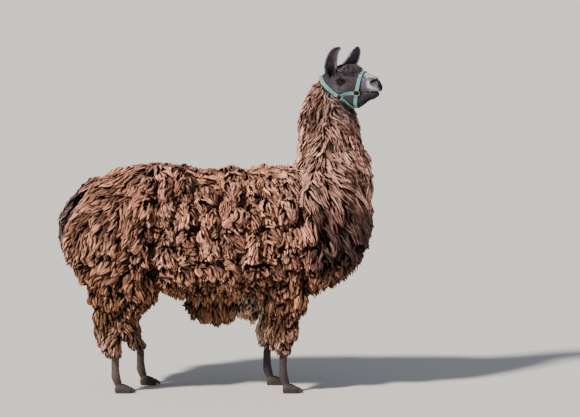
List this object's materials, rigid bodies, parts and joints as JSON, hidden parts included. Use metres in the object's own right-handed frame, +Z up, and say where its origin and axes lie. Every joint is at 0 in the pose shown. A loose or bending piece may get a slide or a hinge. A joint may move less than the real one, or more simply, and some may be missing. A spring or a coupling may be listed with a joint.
{
  "type": "llama",
  "caption": "Still display model of a standing llama in a full matted fleece, head turned slightly to its right, wearing a webbing halter.",
  "frame": {"origin": "on the floor, under the middle of the part's box", "axes": "+X towards the head along the body, +Y towards the animal's left side, +Z up"},
  "size_m": [1.6142, 0.6086, 1.7305],
  "materials": {
    "fleece": "matted brown wool in thick curly locks",
    "face_hair": "short charcoal hair, paler round the nose",
    "leg_hair": "short flat grey-brown hair",
    "eye": "wet dark eye",
    "nail": "dark worn horn",
    "webbing": "woven blue-green webbing, a little faded",
    "brass": "worn brass wire rings"
  },
  "bodies": {
    "root": {"trunk": "fleece", "neck": "fleece", "tail": "fleece", "head": "face_hair", "ear_right": "face_hair", "ear_left": "face_hair", "eye_right": "eye", "eye_left": "eye", "foreleg_right": "fleece", "foreleg_right_shank": "leg_hair", "foreleg_right_foot": "leg_hair", "foreleg_right_nail_outer": "nail", "foreleg_right_nail_inner": "nail", "foreleg_left": "fleece", "foreleg_left_shank": "leg_hair", "foreleg_left_foot": "leg_hair", "foreleg_left_nail_inner": "nail", "foreleg_left_nail_outer": "nail", "hindleg_right": "fleece", "hindleg_right_shank": "leg_hair", "hindleg_right_foot": "leg_hair", "hindleg_right_nail_outer": "nail", "hindleg_right_nail_inner": "nail", "hindleg_left": "fleece", "hindleg_left_shank": "leg_hair", "hindleg_left_foot": "leg_hair", "hindleg_left_nail_inner": "nail", "hindleg_left_nail_outer": "nail", "nose_strap": "webbing", "chin_strap": "webbing", "crown_strap": "webbing", "cheek_strap_right": "webbing", "throat_strap_right": "webbing", "cheek_ring_right": "brass", "side_ring_right": "brass", "cheek_strap_left": "webbing", "throat_strap_left": "webbing", "cheek_ring_left": "brass", "side_ring_left": "brass"}
  },
  "joints": []
}
